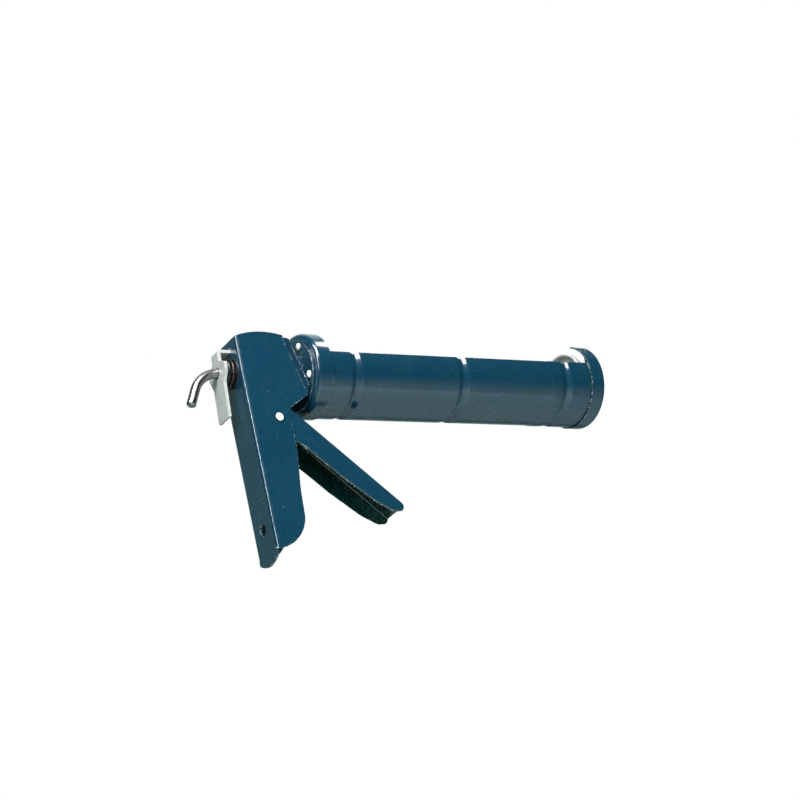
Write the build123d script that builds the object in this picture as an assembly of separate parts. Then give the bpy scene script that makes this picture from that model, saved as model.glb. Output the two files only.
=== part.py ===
from build123d import *
import os
from math import atan2, cos, degrees, hypot, radians, sin

# Half-barrel caulking gun. Millimetres. X runs forward along the barrel axis,
# Y to the left and Z up. The origin is on the barrel axis, at the outside of
# the rear cap. Every sheet-metal piece is a folded or pressed blank.

# --- barrel ---------------------------------------------------------------
CRADLE_R = 28.0            # outside radius of the half barrel
CRADLE_SHEET = 1.0
CRADLE_EDGE_Z = 6.7        # the walls stop this far above the barrel axis
CRADLE_START = 3.1         # clear of the rounded corner inside the rear cap
BEAD_X = (31.5, 118.0, 205.5)
BEAD_HALF = 3.2            # half the width of a pressed bead
BEAD_DEPTH = 1.5
BEAD_ROUND = 2.0
FLARE_X = 190.0            # the front end is opened out from here
FLARE_RUN = 3.0
FLARE = 0.4
MARGIN = 1.0               # how far a cutting shape runs past what it cuts

CAP_SHEET = 1.0
CAP_LENGTH = 12.0
CAP_CORNER = 3.0
CAP_GAP = 0.05             # between the caps' skirts and the cradle
BARREL_END = 238.2
SLOT_BOTTOM_R = 11.0       # nozzle slot: round bottom, then opening upward
SLOT_TOP_HALF = 13.7

# --- rod and piston -------------------------------------------------------
ROD_R = 3.2
RUNNING = 0.06             # radial clearance of a hole that guides the rod
LOOSE_HOLE_R = 3.8
HOOK_START = -59.8
HOOK_R = 21.8
HOOK_TURN = 65.0           # degrees
HOOK_TAIL = 13.0
ROD_CHAMFER = 0.8
PISTON_R = 24.0
PISTON_FACE = 227.0        # front face of the piston with the rod right in
PISTON_SHEET = 1.2
PISTON_RIM = 5.5
PISTON_CORNER = 2.4
BACKING_R = 16.0
BACKING_SHEET = 2.0
SWIVEL_GAP = 0.3
NUT_FLATS = 10.0
NUT_HEIGHT = 5.0
WASHER_R = 7.0
WASHER_SHEET = 1.2
THREAD_FIT = 0.02
ROD_END = 234.6

# --- handle frame ---------------------------------------------------------
FRAME_W = 27.4             # outside width
FRAME_SHEET = 1.2
SPINE_X = -50.0            # rear face of the spine
BEND_R = 2.6               # outside radius of the two long bends
FRAME_REAR_TOP = 21.9
FRAME_CREST = (-30.5, 25.8)
FRAME_FRONT_TOP = (-13.4, 24.0)
FRAME_FRONT_LOW = (-2.2, -19.4)
FRAME_THROAT = (-19.3, -30.3)
HANDLE_WAIST = (-20.2, -60.0)
HANDLE_LOW = (-24.0, -90.0)
HANDLE_TOE = (-24.8, -107.9)
HANDLE_SWELL = (-33.2, -123.2)   # on the curve from the toe down to the heel
HANDLE_HEEL = (-46.8, -130.0)
TONGUE_SIDE = 2.6          # straight sides of the spine's end below the side walls
TONGUE_DROP = 7.2          # its rounded end, below the side walls
TONGUE_HALF = 12.4
TONGUE_ROOT = 4.0          # how far the tongue runs up into the spine
TONGUE_TAPER = 2.0
HANG_HOLE_R = 4.0
HANG_HOLE_Z = -112.0
FLANGE_WIDTH = 5.0         # outward lip along the slanted front edges
FLANGE_ANGLE = 75.0
FLANGE_CLIP_TOP = 4.5
FLANGE_CLIP_LOW = 2.0
FLANGE_CORNER = 1.5
FRAME_ROUNDS = (
    (FRAME_FRONT_TOP, 1.5), (FRAME_FRONT_LOW, 2.0), (FRAME_THROAT, 3.0),
    (HANDLE_WAIST, 60.0), (HANDLE_LOW, 60.0),
)

# --- mounting bracket and its rivets ---------------------------------------
BRACKET_R = 24.5
BRACKET_SHEET = 1.5
WING_TOP = 9.0
WING_LOW = -16.5
WING_DEPTH = 8.0           # short of the trigger's lobe when it is squeezed
WING_CLIP_TOP = 4.0
WING_CLIP_LOW = (6.0, 8.0)
RIVET_SPOTS = ((12.6, 16.2), (18.6, -7.0))
RIVET_R = 2.0
RIVET_HEAD_R = 2.6
RIVET_HEAD = 1.5
DOME = 0.9                 # how much of a head's height is rounded

# --- trigger ----------------------------------------------------------------
TRIGGER_W = 24.4
TRIGGER_SHEET = 1.2
TRIGGER_BEND_R = 2.2
PIVOT = (-28.5, -37.0)
PIVOT_R = 2.5
PIVOT_HEAD_R = 2.9
PIVOT_HEAD = 1.2
BOSS_R = 8.5
SLEEVE_R = 4.2
PIN_FIT = 0.02
DRIVE_PIN = (-41.1, -10.8)
DRIVE_PIN_R = 2.5
LOBE_R = 5.0
TRIGGER_TOP = (-21.0, -25.6)
TRIGGER_TIP = (60.0, -102.2)
TRIGGER_REAR = ((46.0, -103.5), (33.4, -96.6), (13.1, -80.6), (-2.8, -66.1), (-18.0, -53.4))
TRIGGER_ROUNDS = ((TRIGGER_TIP, 4.0), (TRIGGER_REAR[0], 7.0), (TRIGGER_REAR[1], 12.0))
BEYOND = 60.0              # clear of the whole trigger

# --- drive plates and springs ------------------------------------------------
PLATE_SHEET = 2.4
PLATE_HALF_W = 9.8
PLATE_TOP = 14.0
PLATE_LOW = -16.0
PLATE_CORNER = 3.0
TOUCH_GAP = 0.3
SEAT_SHEET = 1.6
SEAT_R = 10.5
RETURN_SPRING_R = 8.0
RETURN_WIRE_R = 0.75
RETURN_TURNS = 6
END_GAP = 0.1

# --- release plate -----------------------------------------------------------
RELEASE_SHEET = 2.2
RELEASE_HINGE = (-59.0, 14.5)
RELEASE_TILT = 3.0         # degrees the plate leans back at rest
RELEASE_LOW = -34.5
RELEASE_NECK = 4.5
RELEASE_HEAD = 11.5
RELEASE_TAIL = 7.1
RELEASE_BEND_R = 2.4       # outside radius of the fold at the hinge
RELEASE_BEND_IN = 0.4
RELEASE_CORNER = 1.8
NECK_LOW = 7.5
HEAD_TOP = 3.5
HEAD_LOW = -1.5
TAIL_TOP = -9.5
TAB_END = -46.6
TAB_SLOT_LOW = 13.1
TAB_SLOT_TOP = 17.4
TAB_SLOT_HALF = 5.0
RELEASE_SPRING_R = 9.0
RELEASE_WIRE_R = 0.9
RELEASE_TURNS = 2.5
RELEASE_SEAT_SHEET = 0.8

HALF_W = FRAME_W / 2
WALL_IN = HALF_W - FRAME_SHEET
TRIGGER_HALF = TRIGGER_W / 2
TRIGGER_IN = TRIGGER_HALF - TRIGGER_SHEET
DRIVE_PLATE_X = DRIVE_PIN[0] + DRIVE_PIN_R + TOUCH_GAP
SPRING_START = DRIVE_PLATE_X + 2 * PLATE_SHEET
LEVER_RUN = (TRIGGER_TIP[0] - TRIGGER_TOP[0], TRIGGER_TIP[1] - TRIGGER_TOP[1])
LEVER_LENGTH = hypot(*LEVER_RUN)


def slab(face, half):
    """A face drawn in X and Z, made as thick as twice half, across Y."""
    return extrude(Plane.XZ * face, amount=half, both=True)


def turned(points, rounds=()):
    """A ring or cup about the X axis, from (x, radius) points; rounds fillet given corners."""
    face = make_face(Polyline(*points, close=True))
    for corner, radius in rounds:
        face = fillet(nearest_corner(face, corner), radius)
    return revolve(face, Axis.X, 360)


def nearest_corner(shape, corner):
    """The vertex of a drawn face that lies at a given point."""
    return shape.vertices().sort_by_distance((*corner, 0))[0]


def bar_along_x(radius, start, end, y=0.0, z=0.0):
    """A round bar from one X to another; taken away from a piece, it leaves a bore."""
    return Plane(origin=(start, y, z), z_dir=(1, 0, 0)) * extrude(Circle(radius), end - start)


def bar_along_y(radius, half, at):
    """A round bar across Y at a point given in X and Z."""
    return slab(Pos(*at) * Circle(radius), half)


def coil(radius, wire, start, end, turns):
    """An open coil spring about the X axis that fills start to end."""
    length = end - start - 2 * wire
    path = Helix(pitch=length / turns, height=length, radius=radius)
    section = Plane(origin=path @ 0, z_dir=path % 0) * Circle(wire)
    spring = sweep(section, path=path)
    return Plane(origin=(start + wire, 0, 0), x_dir=(0, 0, -1), z_dir=(1, 0, 0)) * spring


# --- barrel -----------------------------------------------------------------
def cradle_line(inset):
    """One face of the cradle's sheet along X, with the beads pressed inward."""
    radius = CRADLE_R - inset
    pieces = []
    at = (CRADLE_START, radius)
    for centre in BEAD_X:
        lift = FLARE if centre > FLARE_X else 0.0
        if lift:
            flare_start = (FLARE_X, radius)
            flare_end = (FLARE_X + FLARE_RUN, radius + lift)
            pieces += [Line(at, flare_start), Line(flare_start, flare_end)]
            at = flare_end
        bead_in = (centre - BEAD_HALF, radius + lift)
        bead_mid = (centre, radius + lift - BEAD_DEPTH)
        bead_out = (centre + BEAD_HALF, radius + lift)
        pieces += [Line(at, bead_in), ThreePointArc(bead_in, bead_mid, bead_out)]
        at = bead_out
    pieces.append(Line(at, (BARREL_END - CRADLE_START, radius + FLARE)))
    return pieces


def make_cradle():
    """The half barrel: a bead-rolled sheet turned a little more than half way round."""
    outside = cradle_line(0.0)
    inside = cradle_line(CRADLE_SHEET)
    ends = [Line(outside[0] @ 0, inside[0] @ 0), Line(outside[-1] @ 1, inside[-1] @ 1)]
    face = make_face(Curve() + outside + inside + ends)
    for centre in BEAD_X:
        for side in (-1, 1):
            near = face.vertices().filter_by(
                lambda v: abs(v.X - centre - side * BEAD_HALF) < 0.01
            )
            face = fillet(near, BEAD_ROUND)
    wall_angle = degrees(atan2(CRADLE_EDGE_Z, (CRADLE_R**2 - CRADLE_EDGE_Z**2) ** 0.5))
    shell = revolve(face, Axis.X, 180 + 2 * wall_angle)
    return Rot(180 - wall_angle, 0, 0) * shell


def make_rear_cap():
    """A cup over the cradle's rear end, with holes for the rod and the four rivets."""
    outer = CRADLE_R + CAP_GAP + CAP_SHEET
    inner = outer - CAP_SHEET
    cap = turned(
        [(0, LOOSE_HOLE_R), (0, outer), (CAP_LENGTH, outer), (CAP_LENGTH, inner),
         (CAP_SHEET, inner), (CAP_SHEET, LOOSE_HOLE_R)],
        [((0, outer), CAP_CORNER), ((CAP_SHEET, inner), CAP_CORNER - CAP_SHEET)],
    )
    for y, z in rivet_spots():
        cap -= bar_along_x(RIVET_R + PIN_FIT, -MARGIN, CAP_SHEET + MARGIN, y, z)
    return cap


def make_front_cap():
    """A cup over the cradle's front end, with the round-bottomed slot for a nozzle."""
    outer = CRADLE_R + FLARE + CAP_GAP + CAP_SHEET
    inner = outer - CAP_SHEET
    start = BARREL_END - CAP_LENGTH
    face_in = BARREL_END - CAP_SHEET
    cap = turned(
        [(start, inner), (start, outer), (BARREL_END, outer), (BARREL_END, 0),
         (face_in, 0), (face_in, inner)],
        [((BARREL_END, outer), CAP_CORNER), ((face_in, inner), CAP_CORNER - CAP_SHEET)],
    )
    top = outer + MARGIN
    notch = make_face(
        Curve()
        + [
            ThreePointArc((-SLOT_BOTTOM_R, 0), (0, -SLOT_BOTTOM_R), (SLOT_BOTTOM_R, 0)),
            Line((SLOT_BOTTOM_R, 0), (SLOT_TOP_HALF, top)),
            Line((SLOT_TOP_HALF, top), (-SLOT_TOP_HALF, top)),
            Line((-SLOT_TOP_HALF, top), (-SLOT_BOTTOM_R, 0)),
        ]
    )
    plane = Plane(origin=(start - MARGIN, 0, 0), x_dir=(0, 1, 0), z_dir=(1, 0, 0))
    return cap - plane * extrude(notch, CAP_LENGTH + 2 * MARGIN)


# --- rod and piston -----------------------------------------------------------
def make_rod():
    """The push rod, straight to the piston, with its hooked pull at the rear."""
    bend_centre = (HOOK_START, -HOOK_R)
    turn = radians(HOOK_TURN)
    middle = (HOOK_START - HOOK_R * sin(turn / 2), bend_centre[1] + HOOK_R * cos(turn / 2))
    end = (HOOK_START - HOOK_R * sin(turn), bend_centre[1] + HOOK_R * cos(turn))
    tail = (end[0] - HOOK_TAIL * cos(turn), end[1] - HOOK_TAIL * sin(turn))
    path = Plane.XZ * (
        Curve()
        + [
            Line((ROD_END, 0), (HOOK_START, 0)),
            ThreePointArc((HOOK_START, 0), middle, end),
            Line(end, tail),
        ]
    )
    section = Plane(origin=(ROD_END, 0, 0), z_dir=(-1, 0, 0)) * Circle(ROD_R)
    rod = sweep(section, path=path)
    return chamfer(rod.faces().filter_by(GeomType.PLANE).edges(), ROD_CHAMFER)


def make_piston_disc():
    """A shallow pressed cup, its rim turned back."""
    back = PISTON_FACE - PISTON_RIM
    return turned(
        [(PISTON_FACE, ROD_R + RUNNING), (PISTON_FACE, PISTON_R), (back, PISTON_R),
         (back, PISTON_R - PISTON_SHEET), (PISTON_FACE - PISTON_SHEET, PISTON_R - PISTON_SHEET),
         (PISTON_FACE - PISTON_SHEET, ROD_R + RUNNING)],
        [((PISTON_FACE, PISTON_R), PISTON_CORNER),
         ((PISTON_FACE - PISTON_SHEET, PISTON_R - PISTON_SHEET), PISTON_CORNER - PISTON_SHEET)],
    )


def make_backing_disc():
    front = PISTON_FACE - PISTON_SHEET
    rear = front - BACKING_SHEET
    disc = bar_along_x(BACKING_R, rear, front)
    return disc - bar_along_x(ROD_R + RUNNING, rear - MARGIN, front + MARGIN)


def make_nut(start):
    hexagon = RegularPolygon(NUT_FLATS / 2, 6, major_radius=False)
    nut = Plane(origin=(start, 0, 0), z_dir=(1, 0, 0)) * extrude(hexagon, NUT_HEIGHT)
    return nut - bar_along_x(ROD_R + THREAD_FIT, start - MARGIN, start + NUT_HEIGHT + MARGIN)


def make_piston_washer():
    start = PISTON_FACE + SWIVEL_GAP
    end = start + WASHER_SHEET
    return bar_along_x(WASHER_R, start, end) - bar_along_x(ROD_R + THREAD_FIT, start - MARGIN, end + MARGIN)


# --- handle frame ---------------------------------------------------------------
def frame_outline():
    """One side wall of the frame, drawn in X and Z."""
    rear_top = (SPINE_X, FRAME_REAR_TOP)
    spine_low = (SPINE_X, HANDLE_HEEL[1])
    outline = make_face(
        Curve()
        + [
            ThreePointArc(rear_top, FRAME_CREST, FRAME_FRONT_TOP),
            Line(FRAME_FRONT_TOP, FRAME_FRONT_LOW),
            Line(FRAME_FRONT_LOW, FRAME_THROAT),
            Line(FRAME_THROAT, HANDLE_WAIST),
            Line(HANDLE_WAIST, HANDLE_LOW),
            Line(HANDLE_LOW, HANDLE_TOE),
            ThreePointArc(HANDLE_TOE, HANDLE_SWELL, HANDLE_HEEL),
            Line(HANDLE_HEEL, spine_low),
            Line(spine_low, rear_top),
        ]
    )
    for corner, radius in FRAME_ROUNDS:
        outline = fillet(nearest_corner(outline, corner), radius)
    return outline


def front_flange(side):
    """The lip that turns outward along the slanted front edge of one wall."""
    rise = Vector(FRAME_FRONT_TOP[0] - FRAME_FRONT_LOW[0], 0, FRAME_FRONT_TOP[1] - FRAME_FRONT_LOW[1])
    along = rise.normalized()
    forward = Vector(along.Z, 0, -along.X)
    lean = radians(FLANGE_ANGLE)
    out = forward * cos(lean) + Vector(0, side, 0) * sin(lean)
    length = rise.length
    lip = make_face(
        Polyline(
            (0, FLANGE_CLIP_LOW), (FLANGE_WIDTH, 2 * FLANGE_CLIP_LOW),
            (FLANGE_WIDTH, length - FLANGE_CLIP_TOP), (0, length - MARGIN), close=True,
        )
    )
    lip = fillet(lip.vertices().sort_by(Axis.X)[-2:], FLANGE_CORNER)
    origin = Vector(FRAME_FRONT_LOW[0], side * WALL_IN, FRAME_FRONT_LOW[1])
    plane = Plane(origin=origin, x_dir=out, z_dir=out.cross(along))
    # The lip's thickness lies behind its bend plane, on the side of the wall.
    return plane * extrude(lip, -side * FRAME_SHEET)


def spine_tongue():
    """The rounded end of the spine, drawn in Y and Z."""
    top = HANDLE_HEEL[1]
    side = top - TONGUE_SIDE
    root = TONGUE_HALF - TONGUE_TAPER
    return make_face(
        Curve()
        + [
            ThreePointArc((-TONGUE_HALF, side), (0, top - TONGUE_DROP), (TONGUE_HALF, side)),
            Line((TONGUE_HALF, side), (TONGUE_HALF, top)),
            Line((TONGUE_HALF, top), (root, top + TONGUE_ROOT)),
            Line((root, top + TONGUE_ROOT), (-root, top + TONGUE_ROOT)),
            Line((-root, top + TONGUE_ROOT), (-TONGUE_HALF, top)),
            Line((-TONGUE_HALF, top), (-TONGUE_HALF, side)),
        ]
    )


def rear_edges(shape):
    """The two upright edges of a box-like shape that are furthest back."""
    return shape.edges().filter_by(Axis.Z).sort_by(Axis.X)[:2]


def make_frame():
    """Housing and handle in one folded channel, open in front and at the top."""
    shell = slab(frame_outline(), HALF_W)
    shell = fillet(rear_edges(shell), BEND_R)
    spine_in = SPINE_X + FRAME_SHEET
    height = 2 * (FRAME_CREST[1] - HANDLE_HEEL[1])
    middle = (Align.MIN, Align.CENTER, Align.CENTER)
    channel = Pos(spine_in, 0, 0) * Box(height, 2 * WALL_IN, height, align=middle)
    frame = shell - fillet(rear_edges(channel), BEND_R - FRAME_SHEET)
    spine = Plane(origin=(SPINE_X, 0, 0), x_dir=(0, 1, 0), z_dir=(1, 0, 0))
    frame += spine * extrude(spine_tongue(), FRAME_SHEET)
    for side in (-1, 1):
        frame += front_flange(side)
    behind, inside = SPINE_X - MARGIN, spine_in + MARGIN
    frame -= bar_along_x(HANG_HOLE_R, behind, inside, 0, HANG_HOLE_Z)
    frame -= bar_along_x(ROD_R + RUNNING, behind, inside)
    tab_slot = Box(inside - behind, 2 * TAB_SLOT_HALF, TAB_SLOT_TOP - TAB_SLOT_LOW)
    frame -= Pos((behind + inside) / 2, 0, (TAB_SLOT_LOW + TAB_SLOT_TOP) / 2) * tab_slot
    return frame - bar_along_y(PIVOT_R + PIN_FIT, HALF_W + MARGIN, PIVOT)


def front_edge_x(z):
    """Where the slanted front edge of the frame is at a height."""
    share = (z - FRAME_FRONT_LOW[1]) / (FRAME_FRONT_TOP[1] - FRAME_FRONT_LOW[1])
    return FRAME_FRONT_LOW[0] + share * (FRAME_FRONT_TOP[0] - FRAME_FRONT_LOW[0])


def rivet_spots():
    """Where the four rivets are, in Y and Z."""
    return [(side * y, z) for side in (-1, 1) for y, z in RIVET_SPOTS]


def make_mounting_bracket():
    """A round plate against the rear cap with a wing inside each wall of the frame."""
    bracket = bar_along_x(BRACKET_R, -BRACKET_SHEET, 0)
    front = -BRACKET_SHEET / 2
    rear = front_edge_x(0) - WING_DEPTH
    clip_x, clip_z = WING_CLIP_LOW
    wing = make_face(
        Polyline(
            (front, WING_TOP), (rear + WING_CLIP_TOP, WING_TOP), (rear, WING_TOP - WING_CLIP_TOP),
            (rear, WING_LOW + clip_z), (rear + clip_x, WING_LOW), (front, WING_LOW), close=True,
        )
    )
    bracket += slab(wing, WALL_IN) - slab(wing, WALL_IN - BRACKET_SHEET)
    behind = -BRACKET_SHEET - MARGIN
    bracket -= bar_along_x(ROD_R + RUNNING, behind, MARGIN)
    for y, z in rivet_spots():
        bracket -= bar_along_x(RIVET_R + PIN_FIT, behind, MARGIN, y, z)
    return bracket


def make_bracket_rivets():
    """Four rivets through the mounting bracket and the rear cap."""
    rivets = []
    for y, z in rivet_spots():
        shank = bar_along_x(RIVET_R, -BRACKET_SHEET, CAP_SHEET, y, z)
        head = bar_along_x(RIVET_HEAD_R, -BRACKET_SHEET - RIVET_HEAD, -BRACKET_SHEET, y, z)
        head = fillet(head.faces().sort_by(Axis.X)[0].edges(), DOME * RIVET_HEAD)
        tail = bar_along_x(RIVET_HEAD_R, CAP_SHEET, CAP_SHEET + RIVET_HEAD / 2, y, z)
        rivets.append((shank + head + tail).solid())
    return Compound(children=rivets)


# --- trigger ------------------------------------------------------------------
def along_trigger(distance, depth):
    """A point along the trigger's front edge, and so far behind that edge."""
    ux, uz = LEVER_RUN[0] / LEVER_LENGTH, LEVER_RUN[1] / LEVER_LENGTH
    return (TRIGGER_TOP[0] + ux * distance + uz * depth, TRIGGER_TOP[1] + uz * distance - ux * depth)


def trigger_outline():
    """One side wall of the trigger: the lever, its boss, and the neck up to the drive pin."""
    boss = Pos(*PIVOT) * Circle(BOSS_R)
    lobe = Pos(*DRIVE_PIN) * Circle(LOBE_R)
    dx, dz = DRIVE_PIN[0] - PIVOT[0], DRIVE_PIN[1] - PIVOT[1]
    span = hypot(dx, dz)
    nx, nz = -dz / span, dx / span
    neck = make_face(
        Polyline(
            (PIVOT[0] + nx * BOSS_R, PIVOT[1] + nz * BOSS_R),
            (DRIVE_PIN[0] + nx * LOBE_R, DRIVE_PIN[1] + nz * LOBE_R),
            (DRIVE_PIN[0] - nx * LOBE_R, DRIVE_PIN[1] - nz * LOBE_R),
            (PIVOT[0] - nx * BOSS_R, PIVOT[1] - nz * BOSS_R), close=True,
        )
    )
    inside_boss = PIVOT[0] - BOSS_R / 3
    boss_rear = (inside_boss, PIVOT[1] - 0.9 * BOSS_R)
    boss_top = (inside_boss, PIVOT[1] + 0.6 * BOSS_R)
    lever = make_face(Polyline(TRIGGER_TOP, TRIGGER_TIP, *TRIGGER_REAR, boss_rear, boss_top, close=True))
    for corner, radius in TRIGGER_ROUNDS:
        lever = fillet(nearest_corner(lever, corner), radius)
    return lever + neck + boss + lobe


def make_trigger():
    """A folded channel, open behind and at both ends; its walls taper off at the tip."""
    lever_axis = Axis((0, 0, 0), (LEVER_RUN[0], 0, LEVER_RUN[1]))
    shell = slab(trigger_outline(), TRIGGER_HALF)
    shell = fillet(shell.edges().filter_by(lever_axis), TRIGGER_BEND_R)
    inner_front = along_trigger(-BEYOND, TRIGGER_SHEET)
    end = LEVER_LENGTH + BEYOND
    open_back = make_face(
        Polyline(
            inner_front, along_trigger(end, TRIGGER_SHEET), along_trigger(end, BEYOND),
            along_trigger(-BEYOND, BEYOND), close=True,
        )
    )
    open_top = make_face(
        Polyline(
            along_trigger(-BEYOND, -BEYOND), along_trigger(0, -BEYOND), along_trigger(0, BEYOND),
            along_trigger(-BEYOND, BEYOND), close=True,
        )
    )
    hollow = slab(open_back, TRIGGER_IN)
    front = hollow.edges().filter_by(lever_axis).sort_by_distance((inner_front[0], 0, inner_front[1]))[:2]
    hollow = fillet(front, TRIGGER_BEND_R - TRIGGER_SHEET)
    trigger = shell - hollow - slab(open_top, TRIGGER_IN)
    trigger -= bar_along_y(PIVOT_R + RUNNING, TRIGGER_HALF + MARGIN, PIVOT)
    return trigger - bar_along_y(DRIVE_PIN_R + PIN_FIT, TRIGGER_HALF + MARGIN, DRIVE_PIN)


def make_trigger_pivot():
    """A rivet right through both walls, with a low domed head on each."""
    pivot = bar_along_y(PIVOT_R, HALF_W, PIVOT)
    heads = bar_along_y(PIVOT_HEAD_R, HALF_W + PIVOT_HEAD, PIVOT)
    heads = fillet(heads.faces().filter_by(Axis.Y).edges(), DOME * PIVOT_HEAD)
    return pivot + (heads - bar_along_y(PIVOT_HEAD_R + MARGIN, HALF_W, PIVOT))


def make_trigger_sleeve():
    """A spacer tube on the pivot rivet, between the trigger's walls."""
    half = TRIGGER_IN - END_GAP / 2
    return bar_along_y(SLEEVE_R, half, PIVOT) - bar_along_y(PIVOT_R + RUNNING, half + MARGIN, PIVOT)


def make_drive_pin():
    return bar_along_y(DRIVE_PIN_R, TRIGGER_HALF, DRIVE_PIN)


# --- drive plates and springs -----------------------------------------------------
def make_drive_plate(index):
    """One of the pair of plates that grip the rod and carry it forward."""
    height = PLATE_TOP - PLATE_LOW
    start = DRIVE_PLATE_X + index * PLATE_SHEET
    plane = Plane(origin=(start, 0, (PLATE_TOP + PLATE_LOW) / 2), x_dir=(0, 1, 0), z_dir=(1, 0, 0))
    plate = plane * extrude(RectangleRounded(2 * PLATE_HALF_W, height, PLATE_CORNER), PLATE_SHEET)
    return plate - bar_along_x(ROD_R + RUNNING, start - MARGIN, start + PLATE_SHEET + MARGIN)


def seat_washer(start, end):
    """A spring seat: a washer that is loose on the rod."""
    return bar_along_x(SEAT_R, start, end) - bar_along_x(LOOSE_HOLE_R, start - MARGIN, end + MARGIN)


def make_return_spring():
    """The coil that pushes the drive plates, and with them the trigger, back."""
    start = SPRING_START + END_GAP
    end = -BRACKET_SHEET - SEAT_SHEET - END_GAP
    return coil(RETURN_SPRING_R, RETURN_WIRE_R, start, end, RETURN_TURNS)


def make_release_plate():
    """A flat plate round the rod, with its neck folded forward into the spine's slot."""
    hinge_x, hinge_z = RELEASE_HINGE
    tilt = radians(RELEASE_TILT)
    down = hinge_z - RELEASE_LOW
    half = RELEASE_SHEET / 2
    foot = (hinge_x - down * sin(tilt), hinge_z - down * cos(tilt))
    side = make_face(
        Polyline(
            (TAB_END, hinge_z - half), (hinge_x + half, hinge_z - half),
            (foot[0] + half, foot[1]), (foot[0] - half, foot[1]),
            (hinge_x - half, hinge_z + half), (TAB_END, hinge_z + half), close=True,
        )
    )
    for corner, radius in (
        ((hinge_x - half, hinge_z + half), RELEASE_BEND_R),
        ((hinge_x + half, hinge_z - half), RELEASE_BEND_IN),
    ):
        side = fillet(nearest_corner(side, corner), radius)
    above, below = hinge_z + RELEASE_SHEET, RELEASE_LOW - RELEASE_SHEET
    right = [
        (RELEASE_NECK, above), (RELEASE_NECK, NECK_LOW), (RELEASE_HEAD, HEAD_TOP),
        (RELEASE_HEAD, HEAD_LOW), (RELEASE_TAIL, TAIL_TOP), (RELEASE_TAIL, below),
    ]
    left = [(-y, z) for y, z in reversed(right)]
    blank = make_face(Polyline(*right, *left, close=True))
    corners = [v for v in blank.vertices() if RELEASE_LOW < v.Y <= NECK_LOW]
    blank = fillet(corners, RELEASE_CORNER)
    behind = foot[0] - RELEASE_SHEET
    plane = Plane(origin=(behind, 0, 0), x_dir=(0, 1, 0), z_dir=(1, 0, 0))
    plate = slab(side, RELEASE_HEAD + MARGIN) & (plane * extrude(blank, TAB_END + MARGIN - behind))
    return plate - bar_along_x(LOOSE_HOLE_R, behind, hinge_x + 2 * RELEASE_SHEET)


def make_release_spring():
    """The short coil between the release plate and the spine."""
    hinge_x, hinge_z = RELEASE_HINGE
    reach = RELEASE_SPRING_R + RELEASE_WIRE_R
    face = hinge_x + RELEASE_SHEET / 2 - (hinge_z - reach) * sin(radians(RELEASE_TILT))
    start = face + 2 * END_GAP
    end = SPINE_X - RELEASE_SEAT_SHEET - END_GAP
    return coil(RELEASE_SPRING_R, RELEASE_WIRE_R, start, end, RELEASE_TURNS)


NODES = {
    "cradle": make_cradle,
    "rear_cap": make_rear_cap,
    "front_cap": make_front_cap,
    "handle_frame": make_frame,
    "mounting_bracket": make_mounting_bracket,
    "bracket_rivets": make_bracket_rivets,
    "rod": make_rod,
    "piston_disc": make_piston_disc,
    "piston_backing_disc": make_backing_disc,
    "piston_rear_nut": lambda: make_nut(
        PISTON_FACE - PISTON_SHEET - BACKING_SHEET - SWIVEL_GAP - NUT_HEIGHT
    ),
    "piston_washer": make_piston_washer,
    "piston_front_nut": lambda: make_nut(PISTON_FACE + SWIVEL_GAP + WASHER_SHEET),
    "trigger": make_trigger,
    "trigger_pivot_rivet": make_trigger_pivot,
    "trigger_sleeve": make_trigger_sleeve,
    "drive_pin": make_drive_pin,
    "drive_plate_rear": lambda: make_drive_plate(0),
    "drive_plate_front": lambda: make_drive_plate(1),
    "return_spring": make_return_spring,
    "return_spring_seat": lambda: seat_washer(-BRACKET_SHEET - SEAT_SHEET, -BRACKET_SHEET),
    "release_plate": make_release_plate,
    "release_spring": make_release_spring,
    "release_spring_seat": lambda: seat_washer(SPINE_X - RELEASE_SEAT_SHEET, SPINE_X),
}

os.makedirs("parts", exist_ok=True)
for name, make in NODES.items():
    export_step(make(), f"parts/{name}.step")
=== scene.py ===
"""Looks of a half-barrel caulking gun, built around its fixed frame.

X runs forward along the barrel, Y to the left and Z up. Lengths are in metres.
"""

import math

import bmesh
import bpy
from bpy.props import FloatProperty, FloatVectorProperty, IntProperty, PointerProperty
from bpy.types import Operator, Panel, PropertyGroup
from mathutils import Matrix, Vector


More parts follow.
